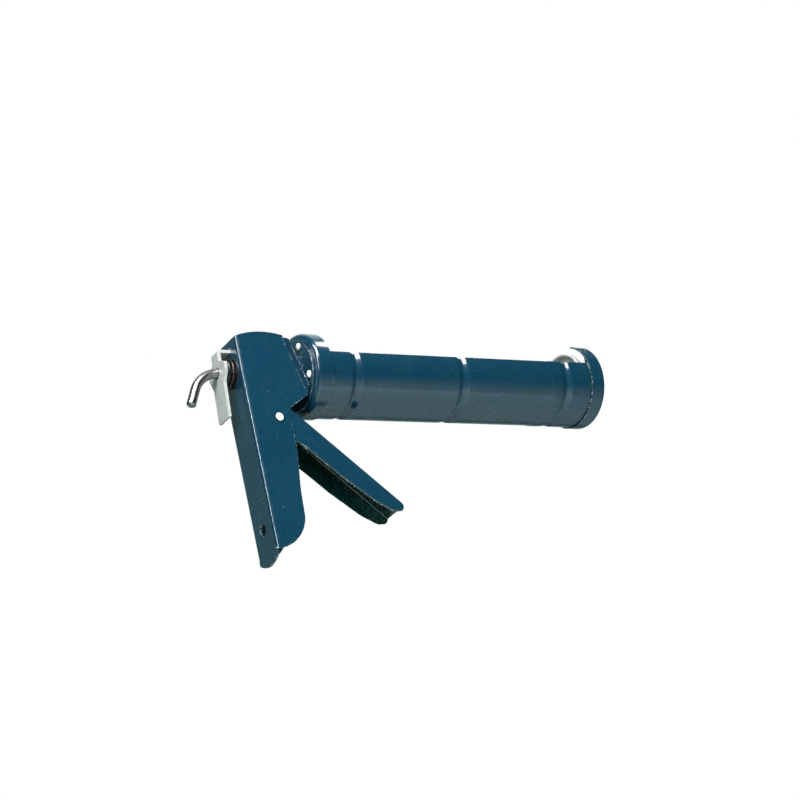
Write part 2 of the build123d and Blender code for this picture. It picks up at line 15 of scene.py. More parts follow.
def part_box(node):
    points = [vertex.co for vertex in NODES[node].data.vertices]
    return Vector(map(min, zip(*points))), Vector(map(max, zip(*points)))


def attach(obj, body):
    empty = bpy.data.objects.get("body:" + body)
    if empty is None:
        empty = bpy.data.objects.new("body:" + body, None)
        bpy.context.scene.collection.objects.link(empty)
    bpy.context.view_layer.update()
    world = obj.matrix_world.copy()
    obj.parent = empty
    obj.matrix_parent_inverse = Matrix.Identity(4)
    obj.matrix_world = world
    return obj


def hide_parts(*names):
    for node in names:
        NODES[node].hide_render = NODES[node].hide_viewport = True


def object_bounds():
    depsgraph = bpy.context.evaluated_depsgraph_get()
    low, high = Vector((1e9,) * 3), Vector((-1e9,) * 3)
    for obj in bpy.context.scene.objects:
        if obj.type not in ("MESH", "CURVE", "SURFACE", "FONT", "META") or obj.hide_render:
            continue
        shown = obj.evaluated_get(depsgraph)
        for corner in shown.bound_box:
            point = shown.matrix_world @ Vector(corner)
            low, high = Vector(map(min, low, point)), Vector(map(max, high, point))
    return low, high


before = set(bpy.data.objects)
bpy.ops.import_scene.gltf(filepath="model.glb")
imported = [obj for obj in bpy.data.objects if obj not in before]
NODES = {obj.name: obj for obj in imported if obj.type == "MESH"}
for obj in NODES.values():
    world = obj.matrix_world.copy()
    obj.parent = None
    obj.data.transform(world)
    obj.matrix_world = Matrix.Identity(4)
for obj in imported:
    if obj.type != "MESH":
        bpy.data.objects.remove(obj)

bl_info = {
    "name": "Caulking Gun",
    "version": (1, 0, 0),
    "blender": (4, 5, 0),
    "location": "View3D > Sidebar > Caulking Gun",
    "description": "Builds the finishes and fine pieces of a half-barrel caulking gun",
    "category": "Object",
}

CAD_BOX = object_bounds()
MM = 0.001


# --- what a user can change -----------------------------------------------------------
class EnamelSettings(PropertyGroup):
    """The gun's baked enamel."""

    colour: FloatVectorProperty(
        name="Enamel", description="Colour of the enamel", subtype="COLOR", size=3,
        min=0, max=1, default=(0.0033, 0.0310, 0.0600),
    )
    shade: FloatVectorProperty(
        name="Thin enamel", description="Colour where the enamel is thin", subtype="COLOR",
        size=3, min=0, max=1, default=(0.0040, 0.0345, 0.0590),
    )
    # Painted shade: a dark colour laid on the inner faces of the folded pieces, round the pivot rivet and on
    # the sides of the rivet domes; the barrel's dark seams use it too.
    inside: FloatVectorProperty(
        name="Inside shade", description="Colour of the painted shade inside the folded pieces",
        subtype="COLOR", size=3, min=0, max=1, default=(0.0012, 0.0180, 0.0150),
    )
    speck: FloatVectorProperty(
        name="Specks", description="Colour of dust nibs in the enamel", subtype="COLOR",
        size=3, min=0, max=1, default=(0.09, 0.18, 0.24),
    )
    roughness: FloatProperty(
        name="Roughness", description="Roughness of the enamel", min=0, max=1, default=0.24,
    )
    peel: FloatProperty(
        name="Orange peel", description="Height of the orange peel", unit="LENGTH",
        min=0, default=0.00002,
    )


class MetalSettings(PropertyGroup):
    """The bare and plated metals."""

    zinc: FloatVectorProperty(
        name="Zinc", description="Colour of the zinc plate", subtype="COLOR", size=3,
        min=0, max=1, default=(0.72, 0.73, 0.71),
    )
    rod: FloatVectorProperty(
        name="Rod", description="Colour of the drawn rod", subtype="COLOR", size=3,
        min=0, max=1, default=(0.34, 0.34, 0.33),
    )
    # Near-white and mostly matt: the polished steel's own pale colour with a painted highlight in it,
    # standing in for its shine.
    rivet: FloatVectorProperty(
        name="Rivets", description="Colour of the polished rivets", subtype="COLOR", size=3,
        min=0, max=1, default=(0.93, 0.94, 0.95),
    )
    hard: FloatVectorProperty(
        name="Hard plate", description="Colour of the hardened plates", subtype="COLOR",
        size=3, min=0, max=1, default=(0.12, 0.12, 0.125),
    )
    spring: FloatVectorProperty(
        name="Spring wire", description="Colour of the oiled spring wire", subtype="COLOR",
        size=3, min=0, max=1, default=(0.085, 0.085, 0.09),
    )


class ShapeSettings(PropertyGroup):
    """Sizes of the fine shapes."""

    edge: FloatProperty(
        name="Sheet edges", description="Rounding of the sheared sheet edges",
        unit="LENGTH", min=0.00005, default=0.00028,
    )
    bead_depth: FloatProperty(
        name="Bead depth", description="How deep the barrel's beads are pressed",
        unit="LENGTH", min=0, default=0.0019,
    )
    thread_pitch: FloatProperty(
        name="Thread pitch", description="Pitch of the rod's thread", unit="LENGTH",
        min=0.0002, default=0.001,
    )
    spring_sides: IntProperty(
        name="Wire sides", description="Sides of the spring wire", min=6, default=14,
    )


class StageSettings(PropertyGroup):
    """Camera and light."""

    azimuth: FloatProperty(
        name="Azimuth", description="Where the camera stands round the gun",
        unit="ROTATION", default=math.radians(-35.463),
    )
    elevation: FloatProperty(
        name="Elevation", description="How far the camera is above the gun",
        unit="ROTATION", default=math.radians(-22.152),
    )
    roll: FloatProperty(
        name="Roll", description="How far the camera leans over", unit="ROTATION",
        default=math.radians(12.966),
    )
    distance: FloatProperty(
        name="Distance", description="From the camera to the point that it looks at",
        unit="LENGTH", default=1.758,
    )
    aim: FloatVectorProperty(
        name="Aim", description="The point that the camera looks at", subtype="XYZ",
        unit="LENGTH", size=3, default=(0.07899, 0.0, -0.01459),
    )
    lens: FloatProperty(
        name="Lens", description="Focal length in millimetres", default=115.09,
    )
    floor_drop: FloatProperty(
        name="Floor", description="Height of the floor", unit="LENGTH", default=-0.74,
    )
    key: FloatProperty(
        name="Key light", description="Power of the large light", unit="POWER", default=9.0,
    )


# --- shared shader groups --------------------------------------------------------------
def new_group(name, inputs, outputs):
    """An empty shader node group, with its group nodes; inputs are (name, kind, default)."""
    group = bpy.data.node_groups.new(name, "ShaderNodeTree")
    for label, kind, default in inputs:
        socket = group.interface.new_socket(name=label, in_out="INPUT", socket_type=kind)
        socket.default_value = default
    for label, kind in outputs:
        group.interface.new_socket(name=label, in_out="OUTPUT", socket_type=kind)
    start = group.nodes.new("NodeGroupInput")
    end = group.nodes.new("NodeGroupOutput")
    return group, start, end


class Wiring:
    """Short ways to add and join the nodes of one tree."""

    def __init__(self, tree):
        self.tree = tree

    def node(self, kind, settings=None, **inputs):
        """Adds a node; settings are its own values, and inputs are sockets or values."""
        made = self.tree.nodes.new(kind)
        for key, value in (settings or {}).items():
            setattr(made, key, value)
        for key, value in inputs.items():
            self.feed(made, key.replace("_", " "), value)
        return made

    def feed(self, node, key, value):
        socket = node.inputs[int(key)] if key.isdigit() else node.inputs[key]
        if isinstance(value, bpy.types.NodeSocket):
            self.tree.links.new(value, socket)
        else:
            socket.default_value = value

    def math(self, operation, a, b=0.0):
        made = self.node("ShaderNodeMath", {"operation": operation})
        self.feed(made, "0", a)
        self.feed(made, "1", b)
        return made.outputs[0]

    def ramp(self, value, low, high, out_low=0.0, out_high=1.0):
        """Spreads low to high over out_low to out_high, smoothly and held at the ends."""
        made = self.node("ShaderNodeMapRange", {"interpolation_type": "SMOOTHSTEP"})
        for key, number in (("From Min", low), ("From Max", high), ("To Min", out_low), ("To Max", out_high)):
            self.feed(made, key, number)
        self.feed(made, "Value", value)
        return made.outputs["Result"]

    def mix(self, factor, a, b):
        made = self.node("ShaderNodeMix", {"data_type": "RGBA"})
        for socket, value in ((made.inputs[0], factor), (made.inputs[6], a), (made.inputs[7], b)):
            if isinstance(value, bpy.types.NodeSocket):
                self.tree.links.new(value, socket)
            else:
                socket.default_value = value
        return made.outputs[2]


def rgba(colour):
    return (*colour, 1.0)


def edge_wear_group():
    """Where an edge is sharp, broken up by noise: outputs a mask."""
    group, start, end = new_group(
        "Edge wear",
        (("Width", "NodeSocketFloat", 0.0006), ("Amount", "NodeSocketFloat", 0.5),
         ("Break Scale", "NodeSocketFloat", 900.0)),
        (("Mask", "NodeSocketFloat"),),
    )
    w = Wiring(group)
    geometry = w.node("ShaderNodeNewGeometry")
    place = w.node("ShaderNodeTexCoord")
    bevel = w.node("ShaderNodeBevel", {"samples": 6}, Radius=start.outputs["Width"])
    facing = w.node("ShaderNodeVectorMath", {"operation": "DOT_PRODUCT"})
    w.feed(facing, "0", bevel.outputs["Normal"])
    w.feed(facing, "1", geometry.outputs["Normal"])
    sharp = w.ramp(w.math("SUBTRACT", 1.0, facing.outputs["Value"]), 0.006, 0.07)
    patches = w.node(
        "ShaderNodeTexNoise", Vector=place.outputs["Object"], Scale=start.outputs["Break Scale"],
        Detail=4.0, Roughness=0.6,
    )
    broken = w.ramp(patches.outputs["Fac"], 0.54, 0.62)
    worn = w.math("MULTIPLY", w.math("MULTIPLY", sharp, broken), start.outputs["Amount"])
    group.links.new(worn, end.inputs["Mask"])
    return group


def paint_surface_group():
    """Baked enamel: slow colour drift, dust nibs and orange peel."""
    group, start, end = new_group(
        "Paint surface",
        (("Colour", "NodeSocketColor", (0, 0, 0, 1)), ("Thin Colour", "NodeSocketColor", (0, 0, 0, 1)),
         ("Speck Colour", "NodeSocketColor", (1, 1, 1, 1)), ("Speck Amount", "NodeSocketFloat", 0.5),
         ("Roughness", "NodeSocketFloat", 0.3), ("Peel Scale", "NodeSocketFloat", 420.0)),
        (("Colour", "NodeSocketColor"), ("Roughness", "NodeSocketFloat"), ("Height", "NodeSocketFloat"),
         ("Speck", "NodeSocketFloat")),
    )
    w = Wiring(group)
    place = w.node("ShaderNodeTexCoord").outputs["Object"]
    drift = w.node("ShaderNodeTexNoise", Vector=place, Scale=38.0, Detail=3.0, Roughness=0.55)
    blotch = w.node("ShaderNodeTexNoise", Vector=place, Scale=160.0, Detail=2.0, Roughness=0.5)
    slow = w.math("MULTIPLY", drift.outputs["Fac"], 0.7)
    spread = w.math("ADD", slow, w.math("MULTIPLY", blotch.outputs["Fac"], 0.3))
    base = w.mix(w.ramp(spread, 0.36, 0.66), start.outputs["Colour"], start.outputs["Thin Colour"])
    peel = w.node(
        "ShaderNodeTexNoise", Vector=place, Scale=start.outputs["Peel Scale"], Detail=2.5, Roughness=0.5,
    )
    nibs = w.node("ShaderNodeTexVoronoi", Vector=place, Scale=300.0, Randomness=1.0)
    round_nib = w.ramp(nibs.outputs["Distance"], 0.10, 0.20, 1.0, 0.0)
    chosen = w.node("ShaderNodeSeparateColor", Color=nibs.outputs["Color"])
    rare = w.ramp(chosen.outputs["Red"], 0.965, 0.975)
    speck = w.math("MULTIPLY", w.math("MULTIPLY", round_nib, rare), start.outputs["Speck Amount"])
    colour = w.mix(speck, base, start.outputs["Speck Colour"])
    rough = w.math("ADD", start.outputs["Roughness"], w.ramp(blotch.outputs["Fac"], 0.3, 0.7, -0.03, 0.05))
    height = w.math("ADD", peel.outputs["Fac"], w.math("MULTIPLY", speck, 1.6))
    for name, value in (("Colour", colour), ("Roughness", rough), ("Height", height), ("Speck", speck)):
        group.links.new(value, end.inputs[name])
    return group


def metal_grain_group():
    """Drawn or brushed metal: fine lines across one axis, with blotches and dark pits."""
    group, start, end = new_group(
        "Metal grain",
        (("Colour", "NodeSocketColor", (0.5, 0.5, 0.5, 1)),
         ("Dark Colour", "NodeSocketColor", (0.1, 0.1, 0.1, 1)),
         ("Stretch", "NodeSocketVector", (1.0, 1.0, 1.0)), ("Grain Scale", "NodeSocketFloat", 900.0),
         ("Roughness", "NodeSocketFloat", 0.3), ("Pits", "NodeSocketFloat", 0.4)),
        (("Colour", "NodeSocketColor"), ("Roughness", "NodeSocketFloat"), ("Height", "NodeSocketFloat")),
    )
    w = Wiring(group)
    place = w.node("ShaderNodeTexCoord").outputs["Object"]
    stretched = w.node("ShaderNodeVectorMath", {"operation": "MULTIPLY"})
    w.feed(stretched, "0", place)
    w.feed(stretched, "1", start.outputs["Stretch"])
    grain = w.node(
        "ShaderNodeTexNoise", Vector=stretched.outputs["Vector"], Scale=start.outputs["Grain Scale"],
        Detail=3.0, Roughness=0.65,
    )
    cloud = w.node("ShaderNodeTexNoise", Vector=place, Scale=110.0, Detail=4.0, Roughness=0.6)
    pit_noise = w.node("ShaderNodeTexNoise", Vector=place, Scale=620.0, Detail=2.0, Roughness=0.5)
    pits = w.math("MULTIPLY", w.ramp(pit_noise.outputs["Fac"], 0.62, 0.74), start.outputs["Pits"])
    lines = w.ramp(grain.outputs["Fac"], 0.3, 0.75, 0.0, 0.35)
    shade = w.math("ADD", lines, w.ramp(cloud.outputs["Fac"], 0.42, 0.7, 0.0, 0.35))
    dark = w.math("MAXIMUM", shade, pits)
    colour = w.mix(dark, start.outputs["Colour"], start.outputs["Dark Colour"])
    rough = w.math("ADD", start.outputs["Roughness"], w.math("MULTIPLY", dark, 0.22))
    height = w.math("SUBTRACT", grain.outputs["Fac"], pits)
    for name, value in (("Colour", colour), ("Roughness", rough), ("Height", height)):
        group.links.new(value, end.inputs[name])
    return group


def inside_shade_group():
    """The inner faces of a folded channel that is even about Y, where painted shade goes: outputs a mask."""
    group, start, end = new_group(
        "Painted inside shade",
        (("Half Width", "NodeSocketFloat", 0.01), ("Outward", "NodeSocketVector", (0.0, 0.0, 1.0))),
        (("Mask", "NodeSocketFloat"),),
    )
    w = Wiring(group)
    place = w.node("ShaderNodeTexCoord")
    parts = w.node("ShaderNodeSeparateXYZ", Vector=place.outputs["Object"])
    depth = w.math("SUBTRACT", start.outputs["Half Width"], w.math("ABSOLUTE", parts.outputs["Y"]))
    facing = w.node("ShaderNodeVectorMath", {"operation": "DOT_PRODUCT"})
    w.feed(facing, "0", place.outputs["Normal"])
    w.feed(facing, "1", start.outputs["Outward"])
    inner = w.ramp(facing.outputs["Value"], 0.0, 0.25, 1.0, 0.0)
    group.links.new(w.math("MULTIPLY", w.ramp(depth, 0.0003, 0.0007), inner), end.inputs["Mask"])
    return group


def shared(name, make):
    """A shared node group, made the first time that it is asked for."""
    return bpy.data.node_groups.get(name) or make()


# --- materials ---------------------------------------------------------------------------
def blank_material(name):
    """A material with only its shader, and the wiring to build it with."""
    made = bpy.data.materials.new(name)
    made.use_nodes = True
    shader = made.node_tree.nodes["Principled BSDF"]
    return made, shader, Wiring(made.node_tree)


def bump(w, shader, height, distance, strength=1.0):
    made = w.node("ShaderNodeBump", Height=height, Distance=distance, Strength=strength)
    w.tree.links.new(made.outputs["Normal"], shader.inputs["Normal"])


def enamel(name="blue enamel", half_width=0.0, outward=(0.0, 0.0, 1.0), rivet=None, seams=()):
    """Glossy enamel over sheet steel, worn to bare metal on the sharpest edges, where the near-white steel is
    also a painted highlight for the edges' glints.

    A folded channel gets painted shade, a dark colour, on the faces that lie inside its half width and
    look away from its outward direction. Round a rivet on an axis along Y, whose middle and
    reach are given, the coat is darkened as painted shade, and the seams round X at the given places are dark
    joints in the same colour.
    """
    if name in bpy.data.materials:
        return bpy.data.materials[name]
    s = bpy.context.scene.gun_enamel
    made, shader, w = blank_material(name)
    paint = w.node("ShaderNodeGroup", {"node_tree": shared("Paint surface", paint_surface_group)})
    w.feed(paint, "Colour", rgba(s.colour))
    w.feed(paint, "Thin Colour", rgba(s.shade))
    w.feed(paint, "Speck Colour", rgba(s.speck))
    w.feed(paint, "Speck Amount", 0.75)
    w.feed(paint, "Roughness", s.roughness)
    wear = w.node("ShaderNodeGroup", {"node_tree": shared("Edge wear", edge_wear_group)})
    w.feed(wear, "Width", 0.0007)
    w.feed(wear, "Amount", 1.0)
    colour = paint.outputs["Colour"]
    # Painted shade on the inner faces of a folded channel.
    if half_width:
        fold = w.node("ShaderNodeGroup", {"node_tree": shared("Painted inside shade", inside_shade_group)})
        w.feed(fold, "Half Width", half_width)
        w.feed(fold, "Outward", Vector(outward).normalized())
        colour = w.mix(fold.outputs["Mask"], colour, rgba(s.inside))
    # Painted shade: a dark ring round the pivot rivet's head, in the painted-shade colour.
    if rivet:
        centre, reach = rivet
        level = w.node("ShaderNodeVectorMath", {"operation": "MULTIPLY"})
        w.feed(level, "0", w.node("ShaderNodeTexCoord").outputs["Object"])
        w.feed(level, "1", (1.0, 0.0, 1.0))
        away = w.node("ShaderNodeVectorMath", {"operation": "DISTANCE"})
        w.feed(away, "0", level.outputs["Vector"])
        w.feed(away, "1", (centre.x, 0.0, centre.z))
        ring = w.ramp(away.outputs["Value"], reach + 0.3 * MM, reach + 1.5 * MM, 1.0, 0.0)
        colour = w.mix(ring, colour, rgba(s.inside))
    for place in seams:
        parts = w.node("ShaderNodeSeparateXYZ", Vector=w.node("ShaderNodeTexCoord").outputs["Object"])
        away = w.math("ABSOLUTE", w.math("SUBTRACT", parts.outputs["X"], place))
        colour = w.mix(w.ramp(away, 0.35 * MM, 0.9 * MM, 0.9, 0.0), colour, rgba(s.inside))
    # Worn edges in near-white steel: real wear, and also a painted highlight standing in for the glints along
    # the edges.
    metal = rgba(bpy.context.scene.gun_metal.rivet)
    colour = w.mix(wear.outputs["Mask"], colour, metal)
    w.tree.links.new(colour, shader.inputs["Base Color"])
    w.tree.links.new(paint.outputs["Roughness"], shader.inputs["Roughness"])
    w.tree.links.new(w.math("MULTIPLY", wear.outputs["Mask"], 0.25), shader.inputs["Metallic"])
    shader.inputs["IOR"].default_value = 1.52
    shader.inputs["Specular IOR Level"].default_value = 0.3
    shader.inputs["Coat Weight"].default_value = 1.0
    shader.inputs["Coat Roughness"].default_value = 0.05
    bump(w, shader, paint.outputs["Height"], s.peel)
    return made


def metal(name, colour, roughness, stretch, grain_scale, pits=0.4, depth=0.00001, dark=0.35, pure=1.0):
    """Bare or plated metal with its grain along one axis; pure is how metallic it is."""
    if name in bpy.data.materials:
        return bpy.data.materials[name]
    made, shader, w = blank_material(name)
    grain = w.node("ShaderNodeGroup", {"node_tree": shared("Metal grain", metal_grain_group)})
    w.feed(grain, "Colour", rgba(colour))
    w.feed(grain, "Dark Colour", rgba([c * dark for c in colour]))
    w.feed(grain, "Stretch", stretch)
    w.feed(grain, "Grain Scale", grain_scale)
    w.feed(grain, "Roughness", roughness)
    w.feed(grain, "Pits", pits)
    wear = w.node("ShaderNodeGroup", {"node_tree": shared("Edge wear", edge_wear_group)})
    w.feed(wear, "Width", 0.0006)
    w.feed(wear, "Amount", 0.8)
    bright = rgba([min(1.0, c * 1.5 + 0.08) for c in colour])
    colour_out = w.mix(wear.outputs["Mask"], grain.outputs["Colour"], bright)
    w.tree.links.new(colour_out, shader.inputs["Base Color"])
    w.tree.links.new(grain.outputs["Roughness"], shader.inputs["Roughness"])
    shader.inputs["Metallic"].default_value = pure
    bump(w, shader, grain.outputs["Height"], depth)
    return made


ALONG_X = (0.04, 1.0, 1.0)
ALONG_Z = (1.0, 1.0, 0.05)
EVEN = (1.0, 1.0, 1.0)


def zinc_plate():
    return metal(
        "zinc plate", bpy.context.scene.gun_metal.zinc, roughness=0.36, stretch=ALONG_Z,
        grain_scale=1100.0, pits=0.2, dark=0.6, pure=0.55,
    )


def rod_steel():
    return metal(
        "drawn rod steel", bpy.context.scene.gun_metal.rod, roughness=0.26, stretch=ALONG_X,
        grain_scale=1500.0, pits=0.55, depth=0.000015,
    )


def rivet_steel(name="bright rivet steel", axis=""):
    """Polished steel; a rivet on an axis gets painted shade round its rim, where its dome turns away from the
    axis.
    """
    if name in bpy.data.materials:
        return bpy.data.materials[name]
    # Low metallic with a near-white colour: a painted highlight that stands in for the polished steel's
    # shine.
    made = metal(
        name, bpy.context.scene.gun_metal.rivet, roughness=0.3, stretch=EVEN, grain_scale=700.0,
        pits=0.1, dark=0.8, pure=0.15,
    )
    shader = made.node_tree.nodes["Principled BSDF"]
    # Painted shade on the sides of the dome: darker where the surface turns away from the rivet's axis.
    if axis:
        w = Wiring(made.node_tree)
        parts = w.node("ShaderNodeSeparateXYZ", Vector=w.node("ShaderNodeTexCoord").outputs["Normal"])
        facing = w.ramp(w.math("ABSOLUTE", parts.outputs[axis]), 0.2, 0.5)
        polished = shader.inputs["Base Color"].links[0].from_socket
        rim_shade = rgba(bpy.context.scene.gun_enamel.inside)
        made.node_tree.links.new(w.mix(facing, rim_shade, polished), shader.inputs["Base Color"])
    return made


def hard_plate():
    return metal(
        "hardened plate", bpy.context.scene.gun_metal.hard, roughness=0.36, stretch=EVEN,
        grain_scale=800.0, pits=0.5,
    )


def spring_wire():
    return metal(
        "spring wire", bpy.context.scene.gun_metal.spring, roughness=0.3, stretch=EVEN,
        grain_scale=900.0, pits=0.5,
    )


def paint_node(name, material):
    """Gives a CAD node a material in each of its slots."""
    piece = NODES[name]
    if not piece.material_slots:
        piece.data.materials.append(material)
    for slot in piece.material_slots:
        slot.material = material
    return piece


# --- mesh building ---------------------------------------------------------------------
def soften(piece, width, angle=35.0, segments=2):
    """Rounds a piece's sharp edges a little, so that they catch the light."""
    weld = piece.modifiers.new("weld", "WELD")
    weld.merge_threshold = 0.002 * MM
    bevel = piece.modifiers.new("rounded edges", "BEVEL")
    bevel.width = width
    bevel.segments = segments
    bevel.limit_method = "ANGLE"
    bevel.angle_limit = math.radians(angle)
    bevel.use_clamp_overlap = True
    normals = piece.modifiers.new("even shading", "WEIGHTED_NORMAL")
    normals.keep_sharp = True
    return piece


def sharp_corners(piece, angle=32.0):
    """Keeps a smooth-shaded piece crisp where its faces meet at more than an angle."""
    mesh = piece.data
    made = bmesh.new()
    made.from_mesh(mesh)
    for edge in made.edges:
        if len(edge.link_faces) == 2 and edge.calc_face_angle(0.0) > math.radians(angle):
            edge.smooth = False
    made.to_mesh(mesh)
    made.free()


def finished_piece(name, mesh_data, material, body, nodes=()):
    """A new smooth-shaded piece from a bmesh, riding on a body."""
    bmesh.ops.recalc_face_normals(mesh_data, faces=mesh_data.faces)
    mesh = bpy.data.meshes.new(name)
    mesh_data.to_mesh(mesh)
    mesh_data.free()
    mesh.materials.append(material)
    mesh.polygons.foreach_set("use_smooth", [True] * len(mesh.polygons))
    piece = bpy.data.objects.new(name, mesh)
    bpy.context.scene.collection.objects.link(piece)
    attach(piece, body)
    if nodes:
        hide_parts(*nodes)
    return piece


def lathe(profile, steps=96, centre=(0.0, 0.0), into=None):
    """Turns a closed loop of (x, radius) points round a line along X."""
    made = into or bmesh.new()
    cy, cz = centre
    rings = []
    for k in range(steps):
        angle = 2 * math.pi * k / steps
        c, s = math.cos(angle), math.sin(angle)
        rings.append([made.verts.new((x, cy + r * s, cz + r * c)) for x, r in profile])
    count = len(profile)
    for k in range(steps):
        here, there = rings[k], rings[(k + 1) % steps]
        for i in range(count):
            j = (i + 1) % count
            made.faces.new((here[i], here[j], there[j], there[i]))
    return made


def tube(points, radius, sides):
    """A round bar along points, closed with flat ends."""
    made = bmesh.new()
    count = len(points)
    normal = None
    rings = []
    for i, point in enumerate(points):
        ahead = points[min(i + 1, count - 1)] - points[max(i - 1, 0)]
        ahead.normalize()
        if normal is None:
            normal = ahead.orthogonal().normalized()
        normal = (normal - ahead * normal.dot(ahead)).normalized()
        side = ahead.cross(normal)
        ring = []
        for k in range(sides):
            a = 2 * math.pi * k / sides
            ring.append(made.verts.new(point + (normal * math.cos(a) + side * math.sin(a)) * radius))
        rings.append(ring)
    for here, there in zip(rings, rings[1:]):
        for k in range(sides):
            j = (k + 1) % sides
            made.faces.new((here[k], here[j], there[j], there[k]))
    made.faces.new(rings[0])
    made.faces.new(list(reversed(rings[-1])))
    return made


# --- barrel ------------------------------------------------------------------------------
SHEET = 1.0 * MM
BEAD_SHARES = (0.1224, 0.4953, 0.8724)   # of the barrel's length, from its rear end
BEAD_REACH = 5.0 * MM       # from a bead's middle to where its soft shoulder ends
FLARE_SPOT = 0.79           # share of the barrel's length where its mouth opens out
FLARE_GAP = 2.0 * MM
FLARE_RUN = 5.0 * MM
MOUTH_FLARE = 0.4 * MM
FINE_STEP = 0.4 * MM        # spacing of the barrel's rings near a bead
COARSE_STEP = 3.0 * MM      # and between the beads
BARREL_STEPS = 120
FLANGE_WIDTH = 5.0 * MM     # the lip that stands out on each side of the housing


def bead_places(low, high):
    """The beads' places along the barrel: near the rear, the middle and the front."""
    length = high.x - low.x
    return [low.x + length * share for share in BEAD_SHARES]


def barrel_line(x, low, high, radius, flare, depth):
    """The barrel's outside radius at x: straight, opened at the mouth, with pressed beads."""
    start = low.x + (high.x - low.x) * FLARE_SPOT + FLARE_GAP
    opened = min(1.0, max(0.0, (x - start) / FLARE_RUN))
    here = radius + flare * opened * opened * (3 - 2 * opened)
    for bead in bead_places(low, high):
        away = abs(x - bead) / BEAD_REACH
        if away < 1:
            here -= depth * (0.5 + 0.5 * math.cos(math.pi * away)) ** 1.25
    return here


def barrel_mesh(depth):
    """A half-round sheet shell, with its beads pressed in to a depth."""
    low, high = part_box("cradle")
    mouth = high.y
    radius = mouth - MOUTH_FLARE
    places = bead_places(low, high)
    edge = math.asin(high.z / mouth)
    xs = [low.x]
    while xs[-1] < high.x - 0.01 * MM:
        near_bead = min(abs(xs[-1] + FINE_STEP - b) for b in places) < BEAD_REACH + 1 * MM
        xs.append(min(high.x, xs[-1] + (FINE_STEP if near_bead else COARSE_STEP)))
    outer = [(x, barrel_line(x, low, high, radius, MOUTH_FLARE, depth)) for x in xs]
    made = bmesh.new()
    rows = []
    for k in range(BARREL_STEPS + 1):
        angle = -edge + (math.pi + 2 * edge) * k / BARREL_STEPS
        c, s = math.cos(angle), math.sin(angle)
        row = []
        for inset in (0.0, SHEET):
            row.append([made.verts.new((x, (r - inset) * c, -(r - inset) * s)) for x, r in outer])
        rows.append(row)
    last = len(outer) - 1
    for here, there in zip(rows, rows[1:]):
        for i in range(last):
            for layer in (0, 1):
                made.faces.new((here[layer][i], here[layer][i + 1], there[layer][i + 1], there[layer][i]))
        for end in (0, last):
            made.faces.new((here[0][end], here[1][end], there[1][end], there[0][end]))
    for row in (rows[0], rows[-1]):
        for i in range(last):
            made.faces.new((row[0][i], row[0][i + 1], row[1][i + 1], row[1][i]))
    return made


class GUN_OT_barrel(Operator):
    """Half barrel with its beads, and the two pressed caps"""

    bl_idname = "gun.barrel"
    bl_label = "Barrel and Caps"

    def execute(self, context):
        s = context.scene.gun_shape
        seams = (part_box("rear_cap")[1].x + 0.2 * MM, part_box("front_cap")[0].x - 0.2 * MM)
        coat = enamel("blue enamel barrel", seams=seams)
        cradle = finished_piece(
            "barrel_shell", barrel_mesh(s.bead_depth), coat, "frame", ("cradle",)
        )
        soften(cradle, s.edge, 60.0, 3)
        for name in ("rear_cap", "front_cap"):
            soften(paint_node(name, enamel()), s.edge, 50.0, 3)
        return {"FINISHED"}


# --- handle ------------------------------------------------------------------------------
BRACKET_RIVET_HEAD = 2.6 * MM
BRACKET_RIVET_SHANK = 2.0 * MM
BRACKET_RIVET_DOME = 1.5 * MM
BRACKET_RIVET_SIDES = 40
PIVOT_NECK = 0.4 * MM       # how much slimmer the pivot's shank is than its head
PIVOT_DOME = 1.2 * MM
PIVOT_SIDES = 48
TINY = 0.02 * MM


def spots(node):
    """The middles, in Y and Z, of four like solids that stand two on each side."""
    low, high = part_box(node)
    half = (low.z + high.z) / 2
    points = [v.co for v in NODES[node].data.vertices]
    found = []
    for side in (-1, 1):
        for up in (False, True):
            group = [p for p in points if p.y * side > 0 and (p.z > half) == up]
            y = (min(p.y for p in group) + max(p.y for p in group)) / 2
            z = (min(p.z for p in group) + max(p.z for p in group)) / 2
            found.append((y, z))
    return found


def rivet_profile(high, face, shank, head, dome_height):
    """Half outline of a rivet along X: a domed head behind the face, a shank and a set tail."""
    dome = [(face, head), (face - 0.25 * dome_height, head)]
    steps = 8
    for i in range(1, steps + 1):
        turn = math.pi / 2 * i / steps
        dome.append(
            (face - dome_height * (0.25 + 0.75 * math.sin(turn)), max(TINY, head * math.cos(turn)))
        )
    end = high.x
    tail = [
        (end - 0.1 * MM, TINY), (end, head * 0.5), (end, head * 0.9), (end - 0.3 * MM, head),
        (end - 0.7 * MM, head),
    ]
    return dome + tail + [(end - 0.75 * MM, shank), (face + TINY, shank)]


def bracket_rivet_mesh():
    """Four domed rivets, each with a set tail inside the cap."""
    low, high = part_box("bracket_rivets")
    face = low.x + BRACKET_RIVET_DOME
    profile = rivet_profile(high, face, BRACKET_RIVET_SHANK, BRACKET_RIVET_HEAD, BRACKET_RIVET_DOME)
    made = bmesh.new()
    for centre in spots("bracket_rivets"):
        lathe(profile, BRACKET_RIVET_SIDES, centre, made)
    return made


class GUN_OT_handle(Operator):
    """Folded housing and handle, its mounting bracket and the bright rivets"""

    bl_idname = "gun.handle"
    bl_label = "Handle"

    def execute(self, context):
        s = context.scene.gun_shape
        low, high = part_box("handle_frame")
        rivet_low, rivet_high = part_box("trigger_pivot_rivet")
        rivet = ((rivet_low + rivet_high) / 2, (rivet_high.x - rivet_low.x) / 2)
        folded = enamel("blue enamel folded housing", high.y - FLANGE_WIDTH, (-1.0, 0.0, 0.0), rivet)
        soften(paint_node("handle_frame", folded), s.edge, 35.0, 3)
        soften(paint_node("mounting_bracket", enamel()), s.edge, 35.0, 3)
        finished_piece(
            "bracket_rivet_heads", bracket_rivet_mesh(), rivet_steel("bracket rivet steel", "X"), "frame",
            ("bracket_rivets",),
        )
        return {"FINISHED"}


